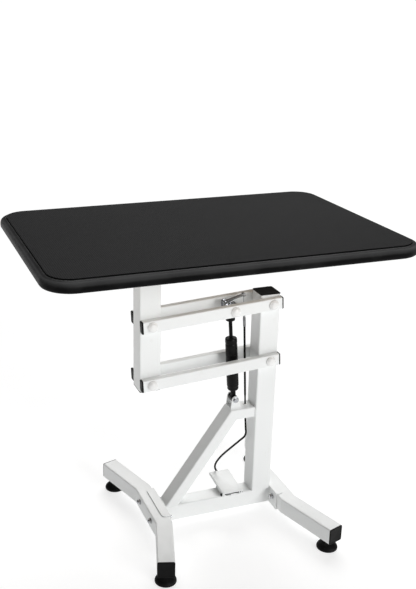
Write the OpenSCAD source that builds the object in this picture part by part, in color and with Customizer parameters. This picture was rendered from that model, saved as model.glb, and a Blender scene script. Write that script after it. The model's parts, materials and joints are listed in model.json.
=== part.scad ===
// Lifting grooming table: a padded top on a parallel-arm lift with a lockable gas spring,
// standing on a welded base with splayed legs. X runs along the top, Y across it, Z up from the floor.

/* [Table top] */
// Length of the top along X
top_length = 914; // [860:1:1000]
// Width of the top along Y
top_width = 610; // [560:1:700]
// Thickness of the edge trim
top_thickness = 30; // [27:1:36]
// Height of the top surface above the floor
top_height = 845; // [835:1:860]
// Corner radius of the top
top_corner = 70; // [50:1:90]
// Width of the edge trim seen from above
trim_width = 18; // [14:1:24]
// Thickness of the non-slip mat
mat_thickness = 3; // [2:0.5:4]

/* [Columns] */
// Outside size of both square columns
column_size = 56; // [54:1:58]
// Wall of the columns and the base tubes
tube_wall = 2; // [1.5:0.1:2.5]
// Distance from the middle of the top to the fixed column
column_x = 187; // [184:1:190]
// Height of the fixed column's open end
column_end = 656; // [655:1:662]

/* [Lift arms] */
// Distance between the two pivots of an arm
arm_span = 330; // [326:1:336]
// Height between the upper and the lower arms
arm_spacing = 159; // [150:1:170]
// How far the table end of an arm hangs below its column end
arm_drop = 21; // [12:1:26]
// Height of an arm's section
arm_height = 32; // [30:1:36]
// Thickness of an arm's section
arm_thickness = 18; // [16:1:20]
// Length of an arm past each pivot
arm_tail = 24; // [22:1:28]
// Height of the fixed column's upper pivot
pivot_height = 635; // [632:1:636]

/* [Gas spring] */
// Distance from the middle of the top to the spring's lower pin
clevis_x = 103.5; // [102:0.5:105]
// Height of the spring's lower pin
clevis_height = 361; // [360:0.5:362]
// Distance from the column pivot to the spring's trunnion along an upper arm
trunnion_reach = 107; // [106:0.5:108]
// Outside radius of the spring cylinder
cylinder_r = 16; // [15:0.5:17]
// Radius of the spring's rod
rod_r = 5; // [4:0.5:5]

/* [Base] */
// Outside size of the base beam
beam_size = 48; // [46:1:50]
// Height of the base beam's upper face
beam_top = 73; // [70:1:78]
// Outside size of a leg
leg_size = 45; // [42:1:46]
// Angle of a leg's ends away from its middle
leg_splay = 17.5; // [10:0.5:22]
// Distance from the middle of the left leg to its open ends along Y
left_reach = 250; // [240:1:280]
// Distance from the middle of the right leg to its open ends along Y
right_reach = 260; // [240:1:280]
// Height of the brace's section
brace_depth = 32; // [28:1:34]
// Radius of a foot's disc
foot_r = 28; // [24:1:32]

/* [Pedal] */
// Width of the pedal plate
pedal_width = 59; // [57:1:62]
// Length of the pedal plate
pedal_length = 102; // [100:1:102]
// Upward slope of the released pedal
pedal_slope = 5.5; // [5:0.5:6]

/* [Hidden] */
$fn = 48;

white = "#f1f1ee";
black = "#1b1b1c";
zinc = "#b9bcc0";
steel = "#8f9297";

// Clearances
fit = 0.05;
slack = 0.1;

// Lift linkage
column_half = column_size / 2;
arm_angle = asin(arm_drop / arm_span);
arm_in = column_half + 1;
arm_out = arm_in + arm_thickness;
arm_wall = 1.6;
lower_pivot_height = pivot_height - arm_spacing;
table_column_x = column_x - arm_span * cos(arm_angle);
table_column_low = lower_pivot_height - arm_drop - 25;
shaft_r = 6;
bush_r = 9;
bush_depth = 12;
dome_r = 13;
dome_height = 9;
cap_plate = 4;
column_cap_plate = 3;

// Table top stack
board_bottom = top_height - 25;
frame_height = 20;
rail_width = 25;
rail_length = 660;
rail_y = 180;
trim_lip = 15;
screw_xs = [-300, -100, 100, 300];

// Base
beam_low = beam_top - beam_size;
web = 3;
beam_right = column_x + column_half;
beam_left = -98;
leg_top = beam_top + 2;
leg_mid_z = leg_top - leg_size / 2;
left_leg_x = beam_left - web - leg_size / 2;
right_leg_x = beam_right + web + leg_size / 2;
leg_bend = 90;
function leg_end(side) = ((side < 0 ? left_reach : right_reach) - leg_bend) / cos(leg_splay);
foot_inset = 25;
foot_top = 28;
saddle_half = 70;
saddle_overlap = 20;
bolt_y = 47;
bolt_z = leg_mid_z + 4;
bolt_r = 4;
stud_r = 5;

// Brace and stub
stub_top = 334;
stub_low = 304;
brace_corner_x = 89;
brace_foot_x = -96;
brace_angle = atan2(stub_top - beam_top, brace_corner_x - brace_foot_x);
mitre_low_x = brace_corner_x + brace_depth / sin(brace_angle) - (stub_top - stub_low) / tan(brace_angle);

// Gas spring, measured along its own axis from the lower pin
spring_lean = 4.28;
eye_r = 10;
ear_in = 14;
ear_out = 17;
cylinder_low = 24;
cylinder_top = 177;
bore_r = 14;
collar_low = 227;
head_low = 243;
head_top = 276;
head_half = 14;
trunnion_rise = 268.1;
trunnion_r = 5;
slot_run = 4.4;
slot_r = 5.55;
lever_x = -15;
lever_low = 281;
lever_rise = 291.5;
wire_x = 39.5;
lever_tilt = atan2(lever_rise - lever_low, wire_x - lever_x);
lever_span = norm([wire_x - lever_x, lever_rise - lever_low]);
pin_low = 262.5;
pin_top = lever_low - lever_x * tan(lever_tilt) - 2 / cos(lever_tilt) - 0.3;
adjuster_low = 201.5;
holder_low = 241;
holder_top = 244.5;
wire_r = 0.8;

// Pedal
pin_y = -31;
pin_z = beam_top + 9;
pin_r = 2.5;
pedal_x = 95.5;
plate = 2.5;
plate_over = 6.5;
pedal_near = 7.5;
ear_half = 24.5;
stop_x = 93.5;
stop_y = 68.5;
ferrule_top = 88;
hook_drop = -24;
hook_y = 97.7;

// Release cable
cable_r = 2.5;
cable_sides = 10;
cable_route = [
    [127.8, 0, 564.5], [129.2, 0, 536], [131, 0, 500], [132.5, 0, 468], [134, 0, 434], [136, 0, 400],
    [138, 0, 366], [139.5, 0, 338], [141, 0, 312], [143, 0, 288], [145, 1, 262], [147, 2, 245],
    [145, 7, 230], [135, 13, 217], [123, 20, 202], [111, 26, 188], [99, 35, 171], [90, 45, 153],
    [84, 56, 132], [84, 64, 115], [88, 68, 102], [93, 68.5, 94], [93.5, 68.5, 88]
];

// ---- sections and helpers ----

module rounded_rect(w, h, r) {
    square([w - 2 * r, h], center = true);
    square([w, h - 2 * r], center = true);
    for (x = [-1, 1], y = [-1, 1])
        translate([x * (w / 2 - r), y * (h / 2 - r)]) circle(r);
}

module tube_section(w, h, r, t) {
    difference() {
        rounded_rect(w, h, r);
        rounded_rect(w - 2 * t, h - 2 * t, r - t);
    }
}

// Extrudes a section drawn in (Y, Z) along +X
module along_x(length) {
    rotate([90, 0, 90]) linear_extrude(length) children();
}

// Extrudes a section drawn in (X, Z) along Y, centred on Y = 0
module along_y(length) {
    rotate([90, 0, 0]) linear_extrude(length, center = true) children();
}

// Cylinder along Y from y0 to y1
module rod_y(r, y0, y1) {
    translate([0, y0, 0]) rotate([-90, 0, 0]) cylinder(r = r, h = y1 - y0);
}

// Cylinder along X from x0 to x1
module rod_x(r, x0, x1) {
    translate([x0, 0, 0]) rotate([0, 90, 0]) cylinder(r = r, h = x1 - x0);
}

module hex_y(r, y0, y1) {
    translate([0, y0, 0]) rotate([-90, 0, 0]) cylinder(r = r, h = y1 - y0, $fn = 6);
}

module hex_x(r, x0, x1) {
    translate([x0, 0, 0]) rotate([0, 90, 0]) cylinder(r = r, h = x1 - x0, $fn = 6);
}

module ring(outer, inner, height) {
    difference() {
        cylinder(r = outer, h = height);
        translate([0, 0, -1]) cylinder(r = inner, h = height + 2);
    }
}

function unit(v) = v / norm(v);
function ring_at(p, t, side, r, n) =
    let (u = unit(cross(side, t)), v = cross(t, u))
    [for (k = [0:n - 1]) p + r * (cos(360 * k / n) * u + sin(360 * k / n) * v)];
function heading(path, i) =
    unit(path[min(i + 1, len(path) - 1)] - path[max(i - 1, 0)]);

// A round tube along a path; side is a direction that the path never runs along
module sweep(path, r, n, side) {
    m = len(path);
    points = [for (i = [0:m - 1]) each ring_at(path[i], heading(path, i), side, r, n)];
    walls = [for (i = [0:m - 2], k = [0:n - 1])
        [i * n + k, i * n + (k + 1) % n, (i + 1) * n + (k + 1) % n, (i + 1) * n + k]];
    start = [[for (k = [0:n - 1]) n - 1 - k]];
    finish = [[for (k = [0:n - 1]) (m - 1) * n + k]];
    polyhedron(points, concat(walls, start, finish));
}

// A point on the smooth curve between route points i and i + 1
function curve(path, i, t) =
    let (a = path[max(i - 1, 0)], b = path[i], c = path[i + 1], last = len(path) - 1)
    let (d = path[min(i + 2, last)], square = 2 * a - 5 * b + 4 * c - d)
    0.5 * (2 * b + (c - a) * t + square * t ^ 2 + (3 * b - a - 3 * c + d) * t ^ 3);
function smooth(path, steps) = concat(
    [for (i = [0:len(path) - 2], k = [0:steps - 1]) curve(path, i, k / steps)],
    [path[len(path) - 1]]
);

// Places children on the upper or lower arm: origin on the column pivot, arm along -X
module on_arm(height) {
    translate([column_x, 0, height]) rotate([0, -arm_angle, 0]) children();
}

// Places children on the gas spring: origin on the lower pin, axis along +Z
module on_spring() {
    translate([clevis_x, 0, clevis_height]) rotate([0, -spring_lean, 0]) children();
}

// Places children on the pedal: origin on the pin, plate along +Y
module on_pedal() {
    translate([pedal_x, pin_y, pin_z]) rotate([pedal_slope, 0, 0]) children();
}

// Places children on a leg's middle, with +X away from the beam
module on_leg(side) {
    translate([side < 0 ? left_leg_x : right_leg_x, 0, leg_mid_z])
        mirror([side < 0 ? 1 : 0, 0, 0]) children();
}

// Places children on an open end of a leg, with +Y out along the tube
module on_leg_end(side, end) {
    on_leg(side) mirror([0, end < 0 ? 1 : 0, 0])
        translate([0, leg_bend, 0]) rotate([0, 0, -leg_splay]) children();
}

// ---- base ----

module base_beam() color(white) {
    difference() {
        translate([beam_left, 0, beam_low + beam_size / 2]) along_x(beam_right - beam_left)
            tube_section(beam_size, beam_size, 2 * tube_wall, tube_wall);
        for (y = [-12, 12]) translate([pedal_x, y, beam_top - 5]) cylinder(r = 2.6, h = 10);
    }
}

// The brace and the stub share a mitred corner
module brace_side() {
    polygon([
        [brace_foot_x, beam_top], [brace_corner_x, stub_top], [mitre_low_x, stub_low],
        [brace_foot_x + brace_depth / sin(brace_angle), beam_top]
    ]);
}

module diagonal_brace() color(white) {
    intersection() {
        translate([brace_foot_x, 0, beam_top]) rotate([0, -brace_angle, 0])
            translate([-60, 0, -brace_depth / 2]) along_x(500)
                tube_section(beam_size, brace_depth, 2 * tube_wall, tube_wall);
        along_y(2 * beam_size) brace_side();
    }
}

module spring_stub() color(white) {
    stub_height = stub_top - stub_low;
    difference() {
        intersection() {
            translate([brace_corner_x, 0, stub_low + stub_height / 2])
                along_x(column_x - column_half - brace_corner_x)
                    tube_section(beam_size, stub_height, 2 * tube_wall, tube_wall);
            along_y(2 * beam_size) polygon([
                [brace_corner_x, stub_top], [mitre_low_x, stub_low],
                [column_x, stub_low], [column_x, stub_top]
            ]);
        }
        translate([139.6, 0, stub_top - 5]) cylinder(r = 4.5, h = 10);
        translate([141.5, 0, stub_low - 5]) cylinder(r = 4.5, h = 10);
    }
}

module column_tube(low, high) {
    translate([0, 0, low]) linear_extrude(high - low)
        tube_section(column_size, column_size, 2 * tube_wall, tube_wall);
}

module fixed_column() color(white) {
    difference() {
        translate([column_x, 0, 0]) column_tube(beam_top, column_end);
        for (z = [pivot_height, lower_pivot_height])
            translate([column_x, 0, z]) rod_y(bush_r + slack / 2, -column_size, column_size);
    }
}

// Plastic plug with a plate as wide as the tube
module tube_plug(w, h, r, t, plate_t, depth) {
    linear_extrude(plate_t) rounded_rect(w, h, r);
    translate([0, 0, -depth]) linear_extrude(depth)
        tube_section(w - 2 * t - 0.4, h - 2 * t - 0.4, 2.5, 1.5);
}

module column_cap() color(black) {
    translate([column_x, 0, column_end])
        tube_plug(column_size, column_size, 2 * tube_wall, tube_wall, column_cap_plate, 12);
}

// Channel that holds the middle of a leg: web against the beam, flanges over the leg
module saddle() {
    difference() {
        union() {
            translate([0, -saddle_half, leg_top - leg_size - web])
                cube([web, 2 * saddle_half, leg_size + 2 * web]);
            for (z = [leg_top, leg_top - leg_size - web])
                translate([0, 0, z]) linear_extrude(web) saddle_flange();
        }
        for (y = [-bolt_y, bolt_y]) translate([0, y, bolt_z]) rod_x(bolt_r + slack, -1, web + 1);
    }
}

module saddle_flange() {
    corner = 10;
    reach = web + saddle_overlap;
    translate([0, -saddle_half]) square([reach - corner, 2 * saddle_half]);
    translate([0, corner - saddle_half]) square([reach, 2 * (saddle_half - corner)]);
    for (y = [-1, 1]) translate([reach - corner, y * (saddle_half - corner)]) circle(corner);
}

module saddle_brackets() color(white) {
    translate([beam_left, 0, 0]) mirror([1, 0, 0]) saddle();
    translate([beam_right, 0, 0]) saddle();
}

// Points of a rounded square, counter-clockwise
function square_ring(half, r, steps) = [
    for (q = [0:3], k = [0:steps]) let (a = 90 * (q + k / steps), c = half - r)
        [(q == 0 || q == 3 ? c : -c) + r * cos(a), (q < 2 ? c : -c) + r * sin(a)]
];

// Square tube with two mitred bends: outer wall, inner wall and the rims of its open ends
module bent_tube(reach) {
    turn = tan(leg_splay / 2);
    out = [reach * sin(leg_splay), leg_bend + reach * cos(leg_splay)];
    centres = [[out[0], -out[1]], [0, -leg_bend], [0, leg_bend], out];
    sides = [[cos(leg_splay), sin(leg_splay)], [1, turn], [1, -turn], [cos(leg_splay), -sin(leg_splay)]];
    outer = square_ring(leg_size / 2, 2 * tube_wall, 6);
    inner = square_ring(leg_size / 2 - tube_wall, tube_wall, 6);
    n = len(outer);
    points = [for (ring = [outer, inner], i = [0:3], p = ring)
        [centres[i][0] + p[1] * sides[i][0], centres[i][1] + p[1] * sides[i][1], p[0]]];
    walls = [for (i = [0:2], k = [0:n - 1]) let (a = i * n + k, b = i * n + (k + 1) % n)
        [a, b, b + n, a + n]];
    lining = [for (f = walls) [for (k = [3:-1:0]) f[k] + 4 * n]];
    start = [for (k = [0:n - 1]) let (j = (k + 1) % n) [j, k, k + 4 * n, j + 4 * n]];
    finish = [for (k = [0:n - 1]) let (j = (k + 1) % n) [k + 3 * n, j + 3 * n, j + 7 * n, k + 7 * n]];
    polyhedron(points, concat(walls, lining, start, finish));
}

// One bent leg: a middle part along Y and two ends that lean away from the beam
module leg(side) {
    difference() {
        on_leg(side) bent_tube(leg_end(side));
        for (y = [-bolt_y, bolt_y])
            on_leg(side) translate([0, y, bolt_z - leg_mid_z]) rod_x(bolt_r + slack, -leg_size, leg_size);
        for (end = [-1, 1]) on_leg_end(side, end)
            translate([0, leg_end(side) - foot_inset, -leg_size])
                cylinder(r = stud_r + 0.5, h = leg_size);
    }
}

module left_leg() color(white) leg(-1);
module right_leg() color(white) leg(1);

module leg_end_caps() color(black) {
    for (end = [-1, 1], side = [-1, 1])
        on_leg_end(side, end)
            translate([0, leg_end(side), 0]) rotate([-90, 0, 0])
                tube_plug(leg_size, leg_size, 2 * tube_wall, tube_wall, cap_plate, 12);
}

// Places children on each leg bolt, with +X from the beam out through the leg
module on_leg_bolts() {
    for (y = [-bolt_y, bolt_y]) {
        translate([beam_right, y, bolt_z]) children();
        translate([beam_left, y, bolt_z]) mirror([1, 0, 0]) children();
    }
}

module leg_bolts() color(zinc) {
    outside = web + leg_size;
    on_leg_bolts() {
        rod_x(bolt_r, -12, outside);
        rod_x(8.5, outside, outside + 1.5);
        hex_x(7.5, outside + 1.5, outside + 6);
        translate([outside + 6, 0, 0]) rotate([0, 90, 0]) rotate_extrude() intersection() {
            translate([0, -3]) circle(7);
            square([6.2, 4]);
        }
    }
}

module leg_nuts() color(zinc) {
    on_leg_bolts() difference() {
        union() {
            rod_x(8, -1.5, 0);
            hex_x(7.2, -8, -1.5);
        }
        rod_x(bolt_r + 0.02, -9, 1);
    }
}

module foot_nuts() color(zinc) {
    for (end = [-1, 1], side = [-1, 1])
        on_leg_end(side, end)
            translate([0, leg_end(side) - foot_inset, tube_wall - leg_size / 2])
                ring(8.5, stud_r + fit, 8);
}

// One levelling foot: a disc with a hub and its threaded stud
module foot(side, end) {
    on_leg_end(side, end)
        translate([0, leg_end(side) - foot_inset, -leg_mid_z]) {
            color(black) rotate_extrude() polygon([
                [0, 0], [foot_r, 0], [foot_r, 5], [foot_r - 3, 8], [14, 13], [11, 18],
                [10.5, foot_top], [0, foot_top]
            ]);
            color(zinc) translate([0, 0, foot_top]) cylinder(r = stud_r, h = 30);
        }
}

module foot_front_left() foot(-1, -1);
module foot_rear_left() foot(-1, 1);
module foot_front_right() foot(1, -1);
module foot_rear_right() foot(1, 1);

// ---- spring clevis ----

module spring_clevis() color(white) {
    ear_width = 2 * eye_r + 1;
    difference() {
        union() {
            translate([clevis_x - 14, -ear_out - 1, stub_top]) cube([30, 2 * ear_out + 2, web]);
            for (y = [-ear_out, ear_in]) {
                translate([clevis_x, 0, clevis_height]) rod_y(ear_width / 2, y, y + web);
                translate([clevis_x - ear_width / 2, y, stub_top])
                    cube([ear_width, web, clevis_height - stub_top]);
            }
        }
        translate([clevis_x, 0, clevis_height]) rod_y(bolt_r + slack, -30, 30);
    }
}

module clevis_bolt() color(zinc) {
    translate([clevis_x, 0, clevis_height]) {
        rod_y(bolt_r, -ear_out, ear_out + 9);
        hex_y(7.2, -ear_out - 5.5, -ear_out);
        hex_y(7.2, ear_out, ear_out + 6.5);
    }
}

// ---- pivots ----

module bush_pair() {
    for (s = [0, 180]) rotate([0, 0, s]) difference() {
        union() {
            rod_y(bush_r, column_half - bush_depth, column_half);
            rod_y(bush_r + 2, column_half, arm_in - fit);
        }
        rod_y(shaft_r + fit, 0, column_size);
    }
}

module column_bushes() color(black) {
    for (z = [pivot_height, lower_pivot_height]) translate([column_x, 0, z]) bush_pair();
}

module table_column_bushes() color(black) {
    for (z = [pivot_height, lower_pivot_height])
        translate([table_column_x, 0, z - arm_drop]) bush_pair();
}

// ---- lift arms ----

// One arm tube; side is -1 in front of the columns and 1 behind them
module arm(height, side, has_trunnion) {
    on_arm(height) difference() {
        translate([-arm_span - arm_tail, side * (arm_in + arm_out) / 2, 0])
            along_x(arm_span + 2 * arm_tail) tube_section(arm_thickness, arm_height, 3, arm_wall);
        for (x = [0, -arm_span])
            translate([x, 0, 0]) rod_y(shaft_r + slack, side < 0 ? -60 : 20, side < 0 ? -20 : 60);
        if (has_trunnion)
            translate([-trunnion_reach, 0, 0])
                rod_y(trunnion_r + slack, side < 0 ? -60 : 20, side < 0 ? -20 : 60);
    }
}

module front_upper_arm() color(white) arm(pivot_height, -1, true);
module rear_upper_arm() color(white) arm(pivot_height, 1, true);
module front_lower_arm() color(white) arm(lower_pivot_height, -1, false);
module rear_lower_arm() color(white) arm(lower_pivot_height, 1, false);

module arm_caps(height) {
    on_arm(height) for (side = [-1, 1]) translate([0, side * (arm_in + arm_out) / 2, 0]) {
        translate([arm_tail, 0, 0]) arm_plug();
        translate([-arm_span - arm_tail, 0, 0]) mirror([1, 0, 0]) arm_plug();
    }
}

module arm_plug() {
    rotate([90, 0, 90]) tube_plug(arm_thickness, arm_height, 3, arm_wall, cap_plate, 10);
}

module upper_arm_caps() color(black) arm_caps(pivot_height);
module lower_arm_caps() color(black) arm_caps(lower_pivot_height);

module pivot_shafts(height) {
    on_arm(height) for (x = [0, -arm_span])
        translate([x, 0, 0]) rod_y(shaft_r, -arm_out - 3, arm_out + 3);
}

module upper_pivot_shafts() color(steel) pivot_shafts(pivot_height);
module lower_pivot_shafts() color(steel) pivot_shafts(lower_pivot_height);

// Two short bolts that carry the gas spring's head between the upper arms
module trunnion_bolts() color(steel) {
    on_arm(pivot_height) translate([-trunnion_reach, 0, 0]) for (s = [0, 180]) rotate([0, 0, s]) {
        rod_y(trunnion_r, 12, arm_out + 3);
        difference() {
            rod_y(8, 20.4, arm_in);
            rod_y(trunnion_r, 15, arm_in + 1);
        }
    }
}

// Domed cover with a socket for the end of a shaft
module dome_cap(socket_r) {
    difference() {
        rotate_extrude() {
            square([dome_r, 4]);
            translate([0, 4]) intersection() {
                dome_arc();
                square([dome_r, dome_height - 4]);
            }
        }
        translate([0, 0, -1]) cylinder(r = socket_r + slack, h = 4.2);
    }
}

// Shallow arc over the cap
module dome_arc() {
    rise = dome_height - 4;
    arc_r = (dome_r * dome_r + rise * rise) / (2 * rise);
    translate([0, rise - arc_r]) circle(arc_r, $fn = 96);
}

module dome_row(height, xs, socket_r) {
    on_arm(height) for (x = xs, s = [-1, 1])
        translate([x, s * arm_out, 0]) rotate([-s * 90, 0, 0]) dome_cap(socket_r);
}

module upper_dome_caps() color(white) {
    dome_row(pivot_height, [0, -arm_span], shaft_r);
    dome_row(pivot_height, [-trunnion_reach], trunnion_r);
}

module lower_dome_caps() color(white) dome_row(lower_pivot_height, [0, -arm_span], shaft_r);

// ---- table column and top ----

module table_column() color(white) {
    difference() {
        translate([table_column_x, 0, 0])
            column_tube(table_column_low + column_cap_plate, board_bottom);
        for (z = [pivot_height, lower_pivot_height]) translate([table_column_x, 0, z - arm_drop])
            rod_y(bush_r + slack / 2, -column_size, column_size);
    }
}

module table_column_cap() color(black) {
    translate([table_column_x, 0, table_column_low + column_cap_plate]) mirror([0, 0, 1])
        tube_plug(column_size, column_size, 2 * tube_wall, tube_wall, column_cap_plate, 12);
}

module support_rails() color(white) {
    difference() {
        for (y = [-rail_y, rail_y])
            translate([-rail_length / 2, y, board_bottom - frame_height / 2]) along_x(rail_length)
                tube_section(rail_width, frame_height, 3, 1.5);
        on_board_screws() cylinder(r = 2.3, h = frame_height + 2);
    }
}

module cross_bars() color(white) {
    bar = 2 * rail_y - rail_width;
    at_column = column_half + rail_width / 2;
    for (x = [table_column_x - at_column, table_column_x + at_column, rail_length / 2 - rail_width])
        translate([x, 0, board_bottom - frame_height / 2]) along_y(bar)
            tube_section(rail_width, frame_height, 3, 1.5);
}

// Places children at each board screw, starting just under the rails
module on_board_screws() {
    for (x = screw_xs, y = [-rail_y, rail_y])
        translate([x, y, board_bottom - frame_height - 1]) children();
}

module board_screws() color(zinc) {
    on_board_screws() {
        translate([0, 0, -2]) cylinder(r1 = 3.4, r2 = 4.6, h = 3);
        translate([0, 0, 1]) cylinder(r = 2.2, h = frame_height + 12);
    }
}

module top_outline(inset) {
    rounded_rect(top_length - 2 * inset, top_width - 2 * inset, top_corner - inset);
}

module table_board() color("#6b5a45") {
    difference() {
        translate([0, 0, board_bottom]) linear_extrude(top_height - mat_thickness - board_bottom)
            top_outline(trim_width);
        translate([0, 0, 1]) on_board_screws() cylinder(r = 2.25, h = frame_height + 13);
    }
}

module table_mat() color("#2b2b2d") {
    translate([0, 0, top_height - mat_thickness]) linear_extrude(mat_thickness) top_outline(trim_width);
}

// Section of the edge trim: x outward from the board's edge, y up from the trim's lower face
module trim_section() {
    lip = top_thickness - (top_height - board_bottom);
    intersection() {
        square([trim_width, top_thickness]);
        translate([0, top_thickness / 2]) rounded_rect(2 * trim_width, top_thickness, 11);
    }
    translate([-trim_lip, 0]) square([trim_lip + 1, lip]);
}

module edge_trim() color(black) {
    inner_r = top_corner - trim_width;
    straight_x = top_length / 2 - top_corner;
    straight_y = top_width / 2 - top_corner;
    translate([0, 0, top_height - top_thickness]) {
        for (s = [0, 180]) rotate([0, 0, s]) {
            translate([-straight_x, straight_y + inner_r, 0]) along_x(2 * straight_x) trim_section();
            translate([straight_x + inner_r, 0, 0]) along_y(2 * straight_y) trim_section();
        }
        for (k = [0:3]) translate([k == 0 || k == 3 ? straight_x : -straight_x,
                                   k < 2 ? straight_y : -straight_y, 0])
            rotate([0, 0, 90 * k]) rotate_extrude(angle = 90, $fn = 96)
                translate([inner_r, 0]) trim_section();
    }
}

// ---- gas spring ----

module spring_eye() color(black) {
    on_spring() difference() {
        union() {
            rod_y(eye_r, 1 - ear_in, ear_in - 1);
            translate([0, 0, 5]) cylinder(r = 7, h = cylinder_low - 5);
        }
        rod_y(bolt_r + fit, -ear_in, ear_in);
    }
}

module spring_cylinder() color(black) {
    r = cylinder_r;
    on_spring() difference() {
        rotate_extrude() polygon([
            [0, cylinder_low], [r - 5, cylinder_low], [r - 2, cylinder_low + 2], [r, cylinder_low + 6],
            [r, cylinder_top - 5], [r - 1.2, cylinder_top], [0, cylinder_top]
        ]);
        translate([0, 0, cylinder_low + 8]) cylinder(r = bore_r, h = cylinder_top);
    }
}

module spring_gland() color(black) {
    on_spring() difference() {
        translate([0, 0, cylinder_top - 14]) {
            cylinder(r = bore_r - fit, h = 14);
            translate([0, 0, 14]) cylinder(r1 = bore_r - fit, r2 = 9, h = 2);
        }
        translate([0, 0, cylinder_top - 20]) cylinder(r = rod_r + fit, h = 30);
    }
}

module spring_rod() color(steel) {
    on_spring() translate([0, 0, 96]) cylinder(r = rod_r, h = 160);
}

module spring_piston() color(zinc) {
    on_spring() translate([0, 0, 100]) difference() {
        union() {
            cylinder(r = bore_r - fit, h = 4);
            translate([0, 0, 4]) cylinder(r = bore_r - 2, h = 4);
            translate([0, 0, 8]) cylinder(r = bore_r - fit, h = 4);
        }
        translate([0, 0, -1]) cylinder(r = rod_r, h = 14);
    }
}

// Round collar screwed onto the rod under the release head
module rod_collar() color(black) {
    on_spring() rotate_extrude() polygon([
        [rod_r + 0.02, collar_low], [10, collar_low], [12.5, collar_low + 3], [12.5, collar_low + 11],
        [7.5, collar_low + 11], [7.5, head_low], [rod_r + 0.02, head_low]
    ]);
}

// Block on top of the rod: slotted sides for the trunnions, ears for the lever, holder for the cable
module release_head() color(zinc) {
    on_spring() difference() {
        union() {
            translate([-head_half, -20, head_low]) cube([2 * head_half, 40, head_top - head_low]);
            translate([head_half - 6, -9, holder_low])
                cube([wire_x + 14 - head_half, 18, holder_top - holder_low]);
            for (y = [-8.5, 5.5]) {
                translate([lever_x - 6, y, head_top - 16]) cube([12, 3, lever_low - head_top + 16]);
                translate([lever_x, 0, lever_low]) rod_y(6, y, y + 3);
            }
        }
        translate([0, 0, head_low - 5]) cylinder(r = rod_r + 0.02, h = 24);
        translate([0, 0, head_low]) cylinder(r = 2.6, h = 80);
        for (s = [0, 180]) rotate([0, 0, s]) translate([0, 0, trunnion_rise]) {
            for (x = [-slot_run, slot_run]) translate([x, 0, 0]) rod_y(slot_r, 11, 21);
            translate([-slot_run, 11, -slot_r]) cube([2 * slot_run, 10, 2 * slot_r]);
        }
        translate([lever_x, 0, lever_low]) rod_y(pin_r + 0.02, -10, 10);
        translate([wire_x, 0, holder_low - 1]) cylinder(r = 3.05, h = 6);
    }
}

module lever_pin() color(zinc) {
    on_spring() translate([lever_x, 0, lever_low]) {
        rod_y(pin_r, -8.6, 8.6);
        for (s = [0, 180]) rotate([0, 0, s]) rod_y(4, 8.6, 10.4);
    }
}

// Threaded sleeve with two nuts that clamp the cable's jacket to the holder
module cable_adjuster() color(zinc) {
    on_spring() translate([wire_x, 0, 0]) difference() {
        union() {
            translate([0, 0, adjuster_low]) cylinder(r = 3.8, h = 26);
            translate([0, 0, adjuster_low + 26]) cylinder(r = 3, h = 25);
            for (z = [holder_low - 4, holder_top]) translate([0, 0, z]) cylinder(r = 6, h = 4, $fn = 6);
        }
        translate([0, 0, adjuster_low - 1]) cylinder(r = wire_r + 0.3, h = 60);
    }
}

module lever_wire() color(zinc) {
    on_spring() translate([wire_x, 0, adjuster_low + 1])
        cylinder(r = wire_r, h = lever_rise - adjuster_low - 5);
}

// Lever over the valve pin; its far end carries the cable's barrel
module release_lever() color(zinc) {
    on_spring() translate([lever_x, 0, lever_low]) rotate([0, -lever_tilt, 0]) {
        difference() {
            union() {
                translate([-3, -5, -2]) cube([lever_span + 3, 10, 4]);
                rod_y(4.4, -5, 5);
                translate([lever_span, 0, 0]) rod_y(5, -5, 5);
            }
            rod_y(pin_r + fit, -6, 6);
            translate([lever_span, 0, 0]) rod_y(3, -6, 6);
            translate([lever_span - 2.2, -1.4, -6]) cube([4.4, 2.8, 6]);
        }
        translate([lever_span, 0, 0]) rod_y(2.95, -6, 6);
    }
}

module valve_pin() color(zinc) {
    on_spring() {
        translate([0, 0, pin_low]) cylinder(r = 2.5, h = pin_top - 1 - pin_low);
        translate([0, 0, pin_top - 1]) cylinder(r1 = 2.5, r2 = 1, h = 1);
    }
}

// ---- pedal ----

module pedal_bracket() color(white) {
    difference() {
        union() {
            translate([pedal_x - ear_half, -beam_size / 2, beam_top])
                cube([2 * ear_half, beam_size, plate]);
            translate([stop_x - 9, beam_size / 2 - 1, beam_top])
                cube([18, stop_y + 8 - beam_size / 2, plate]);
            for (x = [-ear_half, ear_half - plate]) {
                translate([pedal_x + x, pin_y, beam_top]) cube([plate, 42, 11]);
                translate([pedal_x + x, pin_y - 5, beam_top + 4]) cube([plate, 5.1, 5]);
                translate([pedal_x, pin_y, pin_z]) rod_x(5, x, x + plate);
            }
        }
        translate([pedal_x, pin_y, pin_z]) rod_x(pin_r + 0.02, -ear_half - 1, ear_half + 1);
        translate([stop_x, stop_y, beam_top - 1]) cylinder(r = 2.4, h = 5);
        for (y = [-12, 12]) translate([pedal_x, y, beam_top - 1]) cylinder(r = 2.6, h = 5);
    }
}

module bracket_screws() color(zinc) {
    for (y = [-12, 12]) translate([pedal_x, y, 0]) {
        translate([0, 0, beam_top - 8]) cylinder(r = 2.5, h = 8 + plate);
        translate([0, 0, beam_top + plate]) cylinder(r1 = 4.5, r2 = 3.5, h = 2.2);
    }
}

module pedal_pin() color(zinc) {
    translate([pedal_x, pin_y, pin_z]) {
        rod_x(pin_r, -pedal_width / 2 - 0.5, pedal_width / 2 + 0.5);
        for (x = [-pedal_width / 2 - 2.5, pedal_width / 2 + 0.5]) rod_x(4, x, x + 2);
    }
}

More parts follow.
